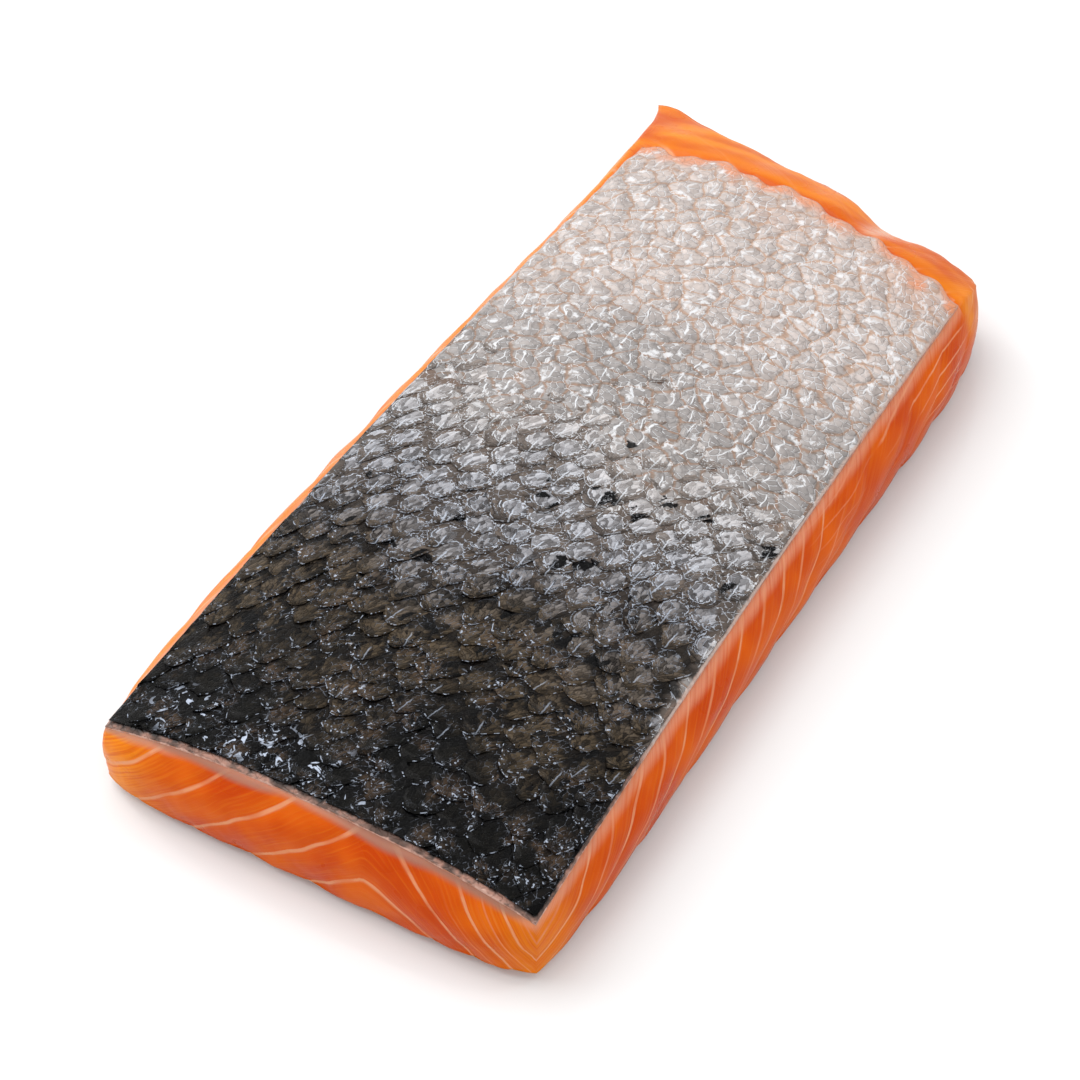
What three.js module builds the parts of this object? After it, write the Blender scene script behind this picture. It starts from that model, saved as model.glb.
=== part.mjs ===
// A raw salmon fillet portion: a slab cut across one side of the fish, lying on its flesh with the skin up.
//
// Two pieces make it: the flesh, a thick slab with cut sides that swell out below the skin, and the skin,
// a thin sheet that crowns over the flesh and stops short of the belly end.
//
// Frame, in millimetres: X across the slab (along the fish), Y from the back of the fish to its belly,
// Z up from the surface that the fillet lies on. The origin is under the middle of the whole fillet.
//
// Both shapes are blocks whose points have three coordinates: u from -1 (left) to 1 (right), v from -1
// (back end) to 1 (belly end) and w from 0 (underside) to 1 (top). A placing function turns them into
// X, Y, Z.

import * as THREE from 'three';
import { mergeVertices } from 'three/addons/utils/BufferGeometryUtils.js';

// Plan outline of the top of the flesh: half widths, end positions, and the bow of its edges.
const HALF_WIDTH = { leftBack: 42.6, leftBelly: 38.2, rightBack: 41.8, rightBelly: 39.2 };
const BACK_END = { left: -88.0, right: -83.4 };
const BELLY_END = { left: 110.5, right: 94.0 };
const BOW = { left: 2.2, right: -1.3, belly: -4.6 };

// The left corner of the belly end flares out into a tip that the skin doesn't follow; the right corner
// of it is rounded off in plan.
const TIP = { flare: 5.2, sharpness: 14 };
const SHOULDER = { end: 2.4, endSharpness: 12, side: 1.6, sideSharpness: 30 };

// Height of the top of the flesh at the four corners, and the crown between the two sides.
const HEIGHT = { backLeft: 15.6, backRight: 15.8, bellyLeft: 16.5, bellyRight: 20.9 };
const CROWN = { back: 5.6, belly: 4.8 };
const CROWN_SQUARENESS = 2.4;

// The cut sides swell out below the skin, less at the corners, and the foot of the slab is rounded.
const SWELL = { leftBack: 6.2, leftBelly: 3.4, rightBack: 4.2, rightBelly: 5.4, back: 4.3, belly: 2.2 };
const UNDERSIDE_SWELL = 0.78;
const CORNER_LOSS = { back: 0.8, belly: 1.0 };
const FOOT = { height: 2.2, start: 0.86 };

// The underside is flat in the middle and rests on four spots near its corners. Between them its margin
// arches clear of the surface.
const ARCH = { rise: 0.3, start: 0.5, full: 0.75 };
const RESTING_SPOT = { u: 24 / 30, v: 34 / 42, reach: 0.07, flat: 0.01 };

// Past the skin the belly end rounds down by this much, and its outline is uneven.
const BELLY_DROP = 6.5;
const BELLY_RIPPLE = 0.5;

// Flakes: the muscle parts into lobes at its membranes, which notch the lower edges of the cut sides.
const FLAKE_DEPTH = { end: 1.0, side: 0.7 };
const SIDE_FLAKES = 13;

// A fold near the right of the belly end nips its outline and runs in under the skin as a groove.
const FOLD = { u: 0.5, width: 0.16, nip: 1.6, groove: 1.4, slant: 0.9, reach: 0.22 };

// The skin: where it ends, how far its left edge stays in, its thickness, its clearance and its torn edge.
const SKIN_END = { left: 89.5, right: 77.5, bow: 3.0 };
const SKIN_INSET = 1.2;
const SKIN_THICKNESS = 1.2;
const SKIN_GAP = 0.35;
const SKIN_TEAR = 0.011;

// Facets of the two blocks: across, along and up.
const FLESH_CELLS = [30, 42, 5];
const SKIN_CELLS = [20, 30, 1];

const FLESH_COLOUR = 0xe9692c;
const SKIN_COLOUR = 0x77736f;

const { lerp, smoothstep, clamp } = THREE.MathUtils;

// Runs from a to b as t goes from -1 to 1.
function across(a, b, t) {
  return lerp(a, b, (t + 1) / 2);
}

// A hump that is 1 in the middle of -1..1 and 0 at both ends.
function hump(t) {
  return 1 - t * t;
}

// A share that stays near 0 and rises to 1 as t nears 1, the later the sharper.
function nearing(t, sharpness) {
  return ((t + 1) / 2) ** sharpness;
}

// How strongly the fold acts at u on the belly edge.
function foldAt(u) {
  return Math.exp(-(((u - FOLD.u) / FOLD.width) ** 2));
}

// Left and right edges of the top of the flesh at v, without the tip.
function sideEdges(v) {
  const shoulder = SHOULDER.side * nearing(v, SHOULDER.sideSharpness);
  const left = -across(HALF_WIDTH.leftBack, HALF_WIDTH.leftBelly, v) - BOW.left * hump(v);
  const right = across(HALF_WIDTH.rightBack, HALF_WIDTH.rightBelly, v) + BOW.right * hump(v) - shoulder;
  return { left, right };
}

// Back and belly edges of the top of the flesh at u.
function endEdges(u) {
  const ripple = BELLY_RIPPLE * (Math.sin(5.2 * u + 1.1) + 0.6 * Math.sin(11.7 * u));
  const shoulder = SHOULDER.end * nearing(u, SHOULDER.endSharpness);
  const back = across(BACK_END.left, BACK_END.right, u);
  const belly = across(BELLY_END.left, BELLY_END.right, u) + BOW.belly * hump(u);
  return { back, belly: belly + ripple - shoulder - FOLD.nip * foldAt(u) };
}

function tipFlare(v) {
  return TIP.flare * nearing(v, TIP.sharpness);
}

// Plan position of the top of the flesh, between its four edges.
function planPoint(u, v) {
  const { left, right } = sideEdges(v);
  const { back, belly } = endEdges(u);
  return { x: across(left - tipFlare(v), right, u), y: across(back, belly, v) };
}

// The v at which the skin ends.
function skinEnd(u) {
  const { back, belly } = endEdges(u);
  const end = across(SKIN_END.left, SKIN_END.right, u) + SKIN_END.bow * hump(u);
  return (2 * (end - back)) / (belly - back) - 1;
}

// The u of the skin's left edge, which stays inside the tip.
function skinLeft(v) {
  const { left, right } = sideEdges(v);
  const inset = tipFlare(v) + SKIN_INSET * nearing(v, 2);
  return (2 * inset) / (right - left + tipFlare(v)) - 1;
}

// Height of the top of the flesh: corner heights, a crown, the fall past the skin and the fold's groove.
function topHeight(u, v) {
  const back = across(HEIGHT.backLeft, HEIGHT.backRight, u);
  const belly = across(HEIGHT.bellyLeft, HEIGHT.bellyRight, u);
  const crown = across(CROWN.back, CROWN.belly, v) * (1 - Math.abs(u) ** CROWN_SQUARENESS);
  const past = smoothstep(v, skinEnd(u), 1.06);
  const inward = clamp((v - 1 + FOLD.reach) / FOLD.reach, 0, 1);
  const groove = FOLD.groove * inward * foldAt(u + FOLD.slant * (1 - v));
  return across(back, belly, v) + crown - BELLY_DROP * past - groove;
}

// Outward swell of a cut side at height w: none at the skin, fullest a little above half way.
function swellAt(w) {
  return (1 - w ** 5) * lerp(UNDERSIDE_SWELL, 1, Math.sin(Math.PI * w));
}

// Count of the membranes met along the two ends, which crowd together towards the right.
function endFlakeCount(x) {
  return 0.075 * x + 6e-4 * x ** 2 + 1.4e-5 * x ** 3;
}

// Lobes of muscle: pulled in at each whole count, deepest at the foot and fading out towards the skin.
function lobes(depth, count, w) {
  return depth * (Math.abs(Math.sin(Math.PI * count)) - 1) * (1 - w) ** 1.5;
}

// How far the margin of the underside stands clear of the surface: nothing in the middle and at the spots.
function archAt(u, v) {
  const margin = smoothstep(Math.max(Math.abs(u), Math.abs(v)), ARCH.start, ARCH.full);
  const offset = Math.hypot(Math.abs(u) - RESTING_SPOT.u, Math.abs(v) - RESTING_SPOT.v) / RESTING_SPOT.reach;
  return ARCH.rise * margin * (1 - Math.exp(-Math.max(offset ** 2 - RESTING_SPOT.flat, 0)));
}

function placeFlesh(point) {
  const { x: u, y: v } = point;
  const w = point.z + 0.5;
  const { x, y } = planPoint(u, v);
  const side = u < 0 ? 'left' : 'right';
  const end = v < 0 ? 'back' : 'belly';
  const sideSwell = across(SWELL[`${side}Back`], SWELL[`${side}Belly`], v) * (1 - CORNER_LOSS[end] * v ** 8);
  const endSwell = SWELL[end] * (1 - CORNER_LOSS[end] * u ** 8);
  const sideOut = sideSwell * swellAt(w) + lobes(FLAKE_DEPTH.side, (SIDE_FLAKES * v) / 2, w);
  const endOut = endSwell * swellAt(w) + lobes(FLAKE_DEPTH.end, endFlakeCount(x), w);
  const foot = FOOT.height * smoothstep(Math.max(Math.abs(u), Math.abs(v)), FOOT.start, 1) ** 2;
  point.set(x + u * sideOut, y + v * endOut, lerp(foot + archAt(u, v), topHeight(u, v), w));
}

function placeSkin(point) {
  const { x: side, z: layer } = point;
  const tear = SKIN_TEAR * Math.sin(9.3 * side) * Math.sin(23.1 * side + 0.7);
  const v = across(-1, skinEnd(side) + tear, point.y);
  const u = across(skinLeft(v), 1, side);
  const { x, y } = planPoint(u, v);
  const lift = SKIN_GAP + (layer > 0 ? SKIN_THICKNESS : 0);
  point.set(x, y, topHeight(u, v) + lift);
}

// A closed block of square cells, each of its points moved by the placing function.
function shapedBlock(cells, place) {
  const block = new THREE.BoxGeometry(2, 2, 1, ...cells);
  block.deleteAttribute('normal');
  block.deleteAttribute('uv');
  const shape = mergeVertices(block);
  const positions = shape.attributes.position;
  const point = new THREE.Vector3();
  for (let i = 0; i < positions.count; i += 1) {
    place(point.fromBufferAttribute(positions, i));
    positions.setXYZ(i, point.x, point.y, point.z);
  }
  shape.computeVertexNormals();
  return shape;
}

function flesh() {
  const material = new THREE.MeshStandardMaterial({ color: FLESH_COLOUR, roughness: 0.35, metalness: 0 });
  const mesh = new THREE.Mesh(shapedBlock(FLESH_CELLS, placeFlesh), material);
  mesh.name = 'flesh';
  return mesh;
}

function skin() {
  const material = new THREE.MeshStandardMaterial({ color: SKIN_COLOUR, roughness: 0.3, metalness: 0.1 });
  const mesh = new THREE.Mesh(shapedBlock(SKIN_CELLS, placeSkin), material);
  mesh.name = 'skin';
  return mesh;
}

// Moves the whole fillet so that the middle of its outline is over the origin.
function centred(fillet) {
  const middle = new THREE.Box3().setFromObject(fillet).getCenter(new THREE.Vector3());
  fillet.position.set(-middle.x, -middle.y, 0);
  return fillet;
}

const fillet = new THREE.Group();
fillet.add(flesh(), skin());

export default centred(fillet);
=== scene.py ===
# %% [markdown]
# # A raw salmon fillet portion, lying on its flesh with the skin up
#
# Two pieces make it: the flesh, with its swelling cut sides, and the scaly skin. Both take their form
# from the same few sizes as the solids. Every size is in millimetres until it reaches the mesh.
#
# X runs across the slab, Y from the dark back end to the silver belly end, and Z up.

# %% Load the frame
import math

import bpy
import numpy as np
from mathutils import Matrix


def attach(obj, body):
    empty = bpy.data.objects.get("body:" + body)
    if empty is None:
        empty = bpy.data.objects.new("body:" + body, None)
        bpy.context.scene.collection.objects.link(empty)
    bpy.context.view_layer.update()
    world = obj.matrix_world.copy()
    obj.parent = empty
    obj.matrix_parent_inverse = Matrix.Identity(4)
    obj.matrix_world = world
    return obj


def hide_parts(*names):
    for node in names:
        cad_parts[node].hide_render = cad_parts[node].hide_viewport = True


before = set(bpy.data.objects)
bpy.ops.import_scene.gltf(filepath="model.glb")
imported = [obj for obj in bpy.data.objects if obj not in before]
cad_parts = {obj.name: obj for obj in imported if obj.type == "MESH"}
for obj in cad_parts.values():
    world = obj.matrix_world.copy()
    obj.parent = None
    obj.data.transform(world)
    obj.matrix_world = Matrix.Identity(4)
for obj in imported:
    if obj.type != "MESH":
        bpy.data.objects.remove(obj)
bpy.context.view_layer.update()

# %% [markdown]
# ## The form of the slab
#
# A fillet portion has no straight edge, so it isn't a box with its corners rounded. It could be sculpted
# by hand, but then its size couldn't be changed. Here its outline, its crown and the swell of its cut
# sides are each a small function of u (left to right), v (back end to belly end) and w (underside to
# top), with named sizes, and the mesh comes from evaluating them.

# %% Sizes of the slab
MM = 0.001

# The slab is worked out about its own axes, and this shift then brings the middle of its outline over the
# origin, as in the solids.
CENTRE = np.array([1.860, -9.984, 0.0])

# Outline of the top of the flesh: half widths and ends at its corners, the bow of its edges, the flared
# left tip of the belly end and the rounded right corner of it.
HALF_WIDTH = {"left_back": 42.6, "left_belly": 38.2, "right_back": 41.8, "right_belly": 39.2}
BACK_END = {"left": -88.0, "right": -83.4}
BELLY_END = {"left": 110.5, "right": 94.0}
BOW = {"left": 2.2, "right": -1.3, "belly": -4.6}
TIP = {"flare": 5.2, "sharpness": 14}
SHOULDER = {"end": 2.4, "end_sharpness": 12, "side": 1.6, "side_sharpness": 30}

# Height of the top at its corners, and the crown between the two sides.
HEIGHT = {"back_left": 15.6, "back_right": 15.8, "belly_left": 16.5, "belly_right": 20.9}
CROWN = {"back": 5.6, "belly": 4.8, "squareness": 2.4}

# How far the cut sides swell out below the skin, how much less at a corner, and the rounded foot.
SWELL = {"left_back": 6.2, "left_belly": 3.4, "right_back": 4.2, "right_belly": 5.4,
         "back": 4.3, "belly": 2.2}
UNDERSIDE_SWELL = 0.78
CORNER_LOSS = {"back": 0.8, "belly": 1.0}
FOOT = {"height": 2.2, "start": 0.86}

# Past the skin the belly end rounds down, its outline is rippled, and a fold nips it near its right.
BELLY_DROP = 6.5
BELLY_RIPPLE = 0.5
FOLD = {"u": 0.5, "width": 0.16, "nip": 1.6, "groove": 1.4, "slant": 0.9, "reach": 0.22}

# Where the skin ends, how far its left edge stays in, and its top above the flesh.
SKIN_END = {"left": 89.5, "right": 77.5, "bow": 3.0}
SKIN_INSET = 1.2
SKIN_TOP = 1.55

# Half sizes that turn a share of the crown into millimetres, and rougher ones that a search starts from.
CROWN_HALF = {"across": 41.5, "along": 97.0}
ROUGH_HALF = {"across": 42, "along": 95}
SEARCH_STEPS = 5

print("top of the flesh:", BELLY_END["left"] - BACK_END["left"], "mm along its left edge")


# %% Small helpers
def lerp(a, b, t):
    """From a at t = 0 to b at t = 1, in a straight line."""
    return a + (b - a) * t


def across(a, b, t):
    """From a at t = -1 to b at t = 1."""
    return lerp(a, b, (t + 1) / 2)


def ease(t, low, high):
    """0 below low, 1 above high, and a smooth S between them: 3s^2 - 2s^3."""
    s = np.clip((t - low) / (high - low), 0, 1)
    return s * s * (3 - 2 * s)


def hump(t):
    """1 in the middle of -1..1 and 0 at both ends."""
    return 1 - t * t


def nearing(t, sharpness):
    """Near 0, and rising to 1 as t nears 1, the later the sharper."""
    return np.clip((t + 1) / 2, 0, None) ** sharpness


def off_spot(points, spot):
    """How far points are in plan from a spot."""
    return np.hypot(points[:, 0] - spot[0], points[:, 1] - spot[1])


def bell(distance, width):
    """1 at no distance, falling off like a bell of that width."""
    return np.exp(-((distance / width) ** 2))


def waves(points, wavelength, seed, count=11):
    """A smooth uneven field of about -1..1: the sum of plane waves of random heading, phase and length."""
    chance = np.random.default_rng(seed)
    heading = chance.normal(size=(count, 3))
    heading /= np.linalg.norm(heading, axis=1)[:, None]
    length = wavelength * chance.uniform(0.65, 1.5, count)
    phase = chance.uniform(0, 2 * np.pi, count)
    turns = points @ (heading * (2 * np.pi / length)[:, None]).T
    return np.sin(turns + phase).sum(-1) * math.sqrt(1.0 / count)


# %% Outline, crown and swell of the slab
def side_edges(v):
    """Left and right edges of the top of the flesh at v: a straight run, a bow, and a rounded shoulder."""
    shoulder = SHOULDER["side"] * nearing(v, SHOULDER["side_sharpness"])
    left = -across(HALF_WIDTH["left_back"], HALF_WIDTH["left_belly"], v) - BOW["left"] * hump(v)
    right = across(HALF_WIDTH["right_back"], HALF_WIDTH["right_belly"], v) + BOW["right"] * hump(v)
    return left, right - shoulder


def fold_at(u):
    """How strongly the fold acts at u on the belly edge, as a bell."""
    return bell(u - FOLD["u"], FOLD["width"])


def end_edges(u):
    """Back and belly edges of the top of the flesh at u, the belly one bowed, rippled and nipped."""
    ripple = BELLY_RIPPLE * (np.sin(5.2 * u + 1.1) + 0.6 * np.sin(11.7 * u))
    shoulder = SHOULDER["end"] * nearing(u, SHOULDER["end_sharpness"])
    back = across(BACK_END["left"], BACK_END["right"], u)
    belly = across(BELLY_END["left"], BELLY_END["right"], u) + BOW["belly"] * hump(u)
    return back, belly + ripple - shoulder - FOLD["nip"] * fold_at(u)


def tip_flare(v):
    """How far the left corner of the belly end flares out at v."""
    return TIP["flare"] * nearing(v, TIP["sharpness"])


def plan_point(u, v):
    """X and Y of the top of the flesh, a straight blend between its four edges."""
    left, right = side_edges(v)
    back, belly = end_edges(u)
    return across(left - tip_flare(v), right, u), across(back, belly, v)


def skin_end(u):
    """The v at which the skin ends."""
    back, belly = end_edges(u)
    end = across(SKIN_END["left"], SKIN_END["right"], u) + SKIN_END["bow"] * hump(u)
    return 2 * (end - back) / (belly - back) - 1


def skin_left(v):
    """The u of the skin's left edge, which stays inside the flared corner."""
    left, right = side_edges(v)
    inset = tip_flare(v) + SKIN_INSET * nearing(v, 2)
    return 2 * inset / (right - left + tip_flare(v)) - 1


def top_height(u, v):
    """Height of the top of the flesh: corner heights, a crown, the fall past the skin, and the fold."""
    back = across(HEIGHT["back_left"], HEIGHT["back_right"], u)
    belly = across(HEIGHT["belly_left"], HEIGHT["belly_right"], u)
    crown = across(CROWN["back"], CROWN["belly"], v) * (1 - np.abs(u) ** CROWN["squareness"])
    past = ease(v, skin_end(u), 1.06)
    inward = np.clip((v - 1 + FOLD["reach"]) / FOLD["reach"], 0, 1)
    groove = FOLD["groove"] * inward * fold_at(u + FOLD["slant"] * (1 - v))
    return across(back, belly, v) + crown - BELLY_DROP * past - groove


def swell_at(w):
    """Share of the swell of a cut side at height w: none at the skin, fullest a little above half way."""
    return (1 - w**5) * lerp(UNDERSIDE_SWELL, 1, np.sin(np.pi * w))


def slab_point(u, v, w):
    """A point of the slab: plan position plus outward swell, and a height between foot and crown."""
    x, y = plan_point(u, v)
    side_back = np.where(u < 0, SWELL["left_back"], SWELL["right_back"])
    side_belly = np.where(u < 0, SWELL["left_belly"], SWELL["right_belly"])
    corner_loss = np.where(v < 0, CORNER_LOSS["back"], CORNER_LOSS["belly"])
    side_out = across(side_back, side_belly, v) * (1 - corner_loss * v**8) * swell_at(w)
    end_out = np.where(v < 0, SWELL["back"], SWELL["belly"]) * (1 - corner_loss * u**8) * swell_at(w)
    foot = FOOT["height"] * ease(np.maximum(np.abs(u), np.abs(v)), FOOT["start"], 1) ** 2
    z = lerp(foot, top_height(u, v), w)
    return np.stack([x + u * side_out, y + v * end_out, z], -1) + CENTRE


def crown_uv(x, y):
    """u and v under a place on the crown: plan_point turned round, by five steps towards the answer."""
    x, y = x - CENTRE[0], y - CENTRE[1]
    u, v = x / ROUGH_HALF["across"], y / ROUGH_HALF["along"]
    for _ in range(SEARCH_STEPS):
        left, right = side_edges(np.clip(v, -1, 1))
        left = left - tip_flare(np.clip(v, -1, 1))
        back, belly = end_edges(np.clip(u, -1, 1))
        u, v = 2 * (x - left) / (right - left) - 1, 2 * (y - back) / (belly - back) - 1
    return u, v


# %% [markdown]
# ## Flakes and membranes
#
# Salmon muscle is built of flakes, nested like cones along the fish, with a pale membrane between each
# two. A cut shows each membrane as a line. Lines could be drawn on each face by hand, but they wouldn't
# meet at the corners. Here one field fills the whole slab, and the membranes are where it takes a whole
# number, so that any face or corner shows the lines that a cut there would.

# %% The field of the membranes
MEMBRANES = {"spacing": 11.1, "offset": 1.1, "apex_x": 12.5, "left_rise": 0.92, "right_rise": 0.225}
MEMBRANE_LEAN = (0.51, 0.00075)
MEMBRANE_WANDER = ((0.8, 38, 21), (0.22, 9, 22))


def membrane_count(u, v, z):
    """Count of membranes up to a place: its height, plus a roof with its ridge at apex_x, straight to the
    left and curving down as the 1.5th power to the right, minus a lean that grows towards the belly end.
    It wanders by waves, each with an amount, a wavelength and a seed."""
    x, y = plan_point(u, v)
    x, along = x + CENTRE[0], y - end_edges(u)[0]
    left = MEMBRANES["left_rise"] * np.clip(MEMBRANES["apex_x"] - x, 0, None)
    right = MEMBRANES["right_rise"] * np.clip(x - MEMBRANES["apex_x"], 0, None) ** 1.5
    lean = MEMBRANE_LEAN[0] * along + MEMBRANE_LEAN[1] * along**2
    place = np.stack([x, y, z], -1)
    wander = sum(amount * waves(place, length, seed) for amount, length, seed in MEMBRANE_WANDER)
    return (z + left + right - lean + wander - MEMBRANES["offset"]) / MEMBRANES["spacing"]


# %% [markdown]
# ## Meshes from lattices
#
# A closed block needs its six faces to share the points of their edges. They could be merged by distance
# afterwards, which can weld what shouldn't be. Here each face is a grid of whole-number corners, and the
# same corner in two faces becomes one point, so the block is closed from the start.

# %% Lattice and mesh helpers
def grid_quads(index):
    """Quads between the points of a grid of point numbers, facing where axis 0 x axis 1 points."""
    return np.stack([index[:-1, :-1], index[1:, :-1], index[1:, 1:], index[:-1, 1:]], -1).reshape(-1, 4)


def block_lattice(cells):
    """Corners (i, j, k) on the outside of a block of cells, each once, and the quads between them."""
    corners, quads, start = [], [], 0
    for axis in range(3):
        first, second = (axis + 1) % 3, (axis + 2) % 3
        a, b = np.meshgrid(np.arange(cells[first] + 1), np.arange(cells[second] + 1), indexing="ij")
        for end in (0, cells[axis]):
            face = np.empty(a.shape + (3,), int)
            face[..., axis], face[..., first], face[..., second] = end, a, b
            index = start + np.arange(a.size).reshape(a.shape)
            quad = grid_quads(index)
            corners.append(face.reshape(-1, 3))
            quads.append(quad if end else quad[:, ::-1])
            start += a.size
    once, number = np.unique(np.concatenate(corners), axis=0, return_inverse=True)
    return once, number.reshape(-1)[np.concatenate(quads)]


def point_normals(points, quads):
    """Unit normal at each point: the sum of the area vectors of the quads round it."""
    a, b, c, d = (points[quads[:, n]] for n in range(4))
    area = np.cross(c - a, d - b)
    total = np.zeros_like(points)
    for n in range(4):
        np.add.at(total, quads[:, n], area)
    return total / np.maximum(np.linalg.norm(total, axis=1), 1e-12)[:, None]


def mesh_piece(name, points, faces, material, fields=None):
    """A smooth mesh object from points in millimetres, faces as lists of quads or longer polygons, and
    named numbers at its points."""
    mesh = bpy.data.meshes.new(name)
    mesh.vertices.add(len(points))
    mesh.vertices.foreach_set("co", (points * MM).astype(np.float32).ravel())
    sizes = np.concatenate([np.full(len(f), f.shape[1]) for f in faces])
    loops = np.concatenate([f.ravel() for f in faces])
    mesh.loops.add(len(loops))
    mesh.loops.foreach_set("vertex_index", loops.astype(np.int32))
    mesh.polygons.add(len(sizes))
    mesh.polygons.foreach_set("loop_start", np.concatenate([[0], np.cumsum(sizes)[:-1]]).astype(np.int32))
    mesh.polygons.foreach_set("use_smooth", np.ones(len(sizes), bool))
    for field, values in (fields or {}).items():
        layer = mesh.attributes.new(field, "FLOAT", "POINT")
        layer.data.foreach_set("value", np.asarray(values, np.float32))
    mesh.update(calc_edges=True)
    mesh.validate()
    mesh.materials.append(material)
    piece = bpy.data.objects.new(name, mesh)
    bpy.context.scene.collection.objects.link(piece)
    print(name, len(points), "points,", int((sizes - 2).sum()), "triangles")
    return piece


# %% [markdown]
# ## Node helpers
#
# A material here is a chain of small steps. Wiring each step by hand takes several lines, so a few short
# functions make a node, join its inputs, and hand back its output.

# %% Helpers for materials
class Recipe:
    """A node material: each method adds one step and returns the socket that carries its result."""

    def __init__(self, name):
        self.material = bpy.data.materials.new(name)
        self.material.use_nodes = True
        self.tree = self.material.node_tree
        self.tree.nodes.clear()
        self.place = self.node("ShaderNodeTexCoord").outputs["Object"]

    def node(self, kind, inputs=None, **settings):
        """A node with its settings made, and its inputs joined to sockets or set to values."""
        node = self.tree.nodes.new(kind)
        for key, value in settings.items():
            setattr(node, key, value)
        for key, value in (inputs or {}).items():
            if isinstance(value, bpy.types.NodeSocket):
                self.tree.links.new(value, node.inputs[key])
            elif value is not None:
                node.inputs[key].default_value = value
        return node

    def field(self, name):
        """A named number of the mesh."""
        return self.node("ShaderNodeAttribute", attribute_name=name).outputs["Fac"]

    def math(self, operation, *values):
        """One step of arithmetic on numbers."""
        return self.node("ShaderNodeMath", dict(enumerate(values)), operation=operation).outputs[0]

    def joined(self, operation, values):
        """The values joined from the left by one operation."""
        total = values[0]
        for value in values[1:]:
            total = self.math(operation, total, value)
        return total

    def times(self, *values):
        """All the values multiplied."""
        return self.joined("MULTIPLY", values)

    def plus(self, *values):
        """All the values added."""
        return self.joined("ADD", values)

    def most(self, *values):
        """The largest of the values."""
        return self.joined("MAXIMUM", values)

    def swing(self, noise, amount):
        """How far a noise is from its middle, times an amount."""
        return self.times(self.math("SUBTRACT", noise, 0.5), amount)

    def span(self, value, low, high, out_low=0.0, out_high=1.0):
        """out_low below low, out_high above high, and a smooth S between them."""
        inputs = {"Value": value, "From Min": low, "From Max": high, "To Min": out_low, "To Max": out_high}
        return self.node("ShaderNodeMapRange", inputs, interpolation_type="SMOOTHSTEP").outputs["Result"]

    def falling(self, value, low, high):
        """1 below low, 0 above high, and a smooth S between them."""
        return self.span(value, low, high, 1.0, 0.0)

    def stretched(self, scale, turn=(0, 0, 0)):
        """Place on the object, turned and scaled along each axis."""
        inputs = {"Vector": self.place, "Scale": scale, "Rotation": turn}
        return self.node("ShaderNodeMapping", inputs).outputs["Vector"]

    def noise(self, scale, detail=2.0, rough=0.5, place=None, warp=0.0):
        """A smooth uneven number, about 0.5 in the middle, with scale patches to a metre."""
        inputs = {"Vector": place or self.place, "Scale": scale, "Detail": detail, "Roughness": rough,
                  "Distortion": warp}
        return self.node("ShaderNodeTexNoise", inputs).outputs["Fac"]

    def cells(self, scale, output, place, spread=1.0):
        """A flat pattern of cells: the Distance to a cell's edge, or its own Color or Position."""
        inputs = {"Vector": place, "Scale": scale, "Randomness": spread}
        feature = "DISTANCE_TO_EDGE" if output == "Distance" else "F1"
        node = self.node("ShaderNodeTexVoronoi", inputs, feature=feature, voronoi_dimensions="2D")
        return node.outputs[output]

    def pair(self, x, y):
        """A flat place from two numbers."""
        return self.node("ShaderNodeCombineXYZ", {"X": x, "Y": y}).outputs[0]

    def vector(self, operation, first, second=None, output="Vector"):
        """One step of arithmetic on places."""
        inputs = {0: first, 1: second}
        return self.node("ShaderNodeVectorMath", inputs, operation=operation).outputs[output]

    def mix(self, share, first, second, blend="MIX"):
        """first where share is 0, second where it is 1."""
        node = self.node("ShaderNodeMix", data_type="RGBA", blend_type=blend, clamp_factor=True)
        for socket, value in zip((node.inputs[0], node.inputs[6], node.inputs[7]), (share, first, second)):
            if isinstance(value, bpy.types.NodeSocket):
                self.tree.links.new(value, socket)
            else:
                socket.default_value = value
        return node.outputs[2]

    def shaded(self, colour, light):
        """A colour times a grey of that lightness."""
        grey = self.node("ShaderNodeCombineColor", {0: light, 1: light, 2: light}).outputs[0]
        return self.mix(1.0, colour, grey, "MULTIPLY")

    def bump(self, height, distance, strength):
        """The normal, leaning as a height of so many metres would make it."""
        inputs = {"Height": height, "Distance": distance, "Strength": strength}
        return self.node("ShaderNodeBump", inputs).outputs["Normal"]

    def finish(self, **inputs):
        """The surface shader with its inputs, and the material's output."""
        named = {key.replace("_", " "): value for key, value in inputs.items()}
        shader = self.node("ShaderNodeBsdfPrincipled", named)
        self.node("ShaderNodeOutputMaterial", {"Surface": shader.outputs[0]})
        print("finish", self.material.name, "of", len(self.tree.nodes), "nodes")
        return self.material


SHARE_REFLECTED = 0.75


def paint(red, green, blue):
    """A colour from screen values of 0 to 255, made linear, and darker because the studio is bright."""
    channels = np.array([red, green, blue]) / 255
    linear = np.where(channels <= 0.04045, channels / 12.92, ((channels + 0.055) / 1.055) ** 2.4)
    return (*(linear * SHARE_REFLECTED).tolist(), 1.0)


# %% [markdown]
# ## Flesh finish
#
# Raw salmon is orange muscle, wet and a little translucent. On a cut its membranes show as pale lines,
# thicker here and thinner there, with fine fibres running beside them. Just below the skin lies a stained
# pink line of fat. The lines could be painted on a picture of each face. Here they follow the membrane
# count, and the fat follows the depth below the skin, so both stay right on every face.

# %% Flesh material
FLESH_ORANGE = paint(218, 94, 4)
FLESH_DEEP = paint(196, 66, 0)
FLESH_PALE = paint(222, 116, 26)
MEMBRANE_PALE = paint(228, 158, 116)
FAT_PINK = paint(206, 144, 118)
FAT_STAIN = paint(156, 118, 102)
CORNER_AMBER = paint(238, 140, 22)
BAND_AMBER = paint(230, 132, 20)
BAND_DEEP = paint(202, 86, 6)
LAYER_PALE = paint(228, 160, 120)
FOLD_PALE = paint(222, 172, 146)
SIDE_PALE = paint(224, 150, 116)


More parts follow.
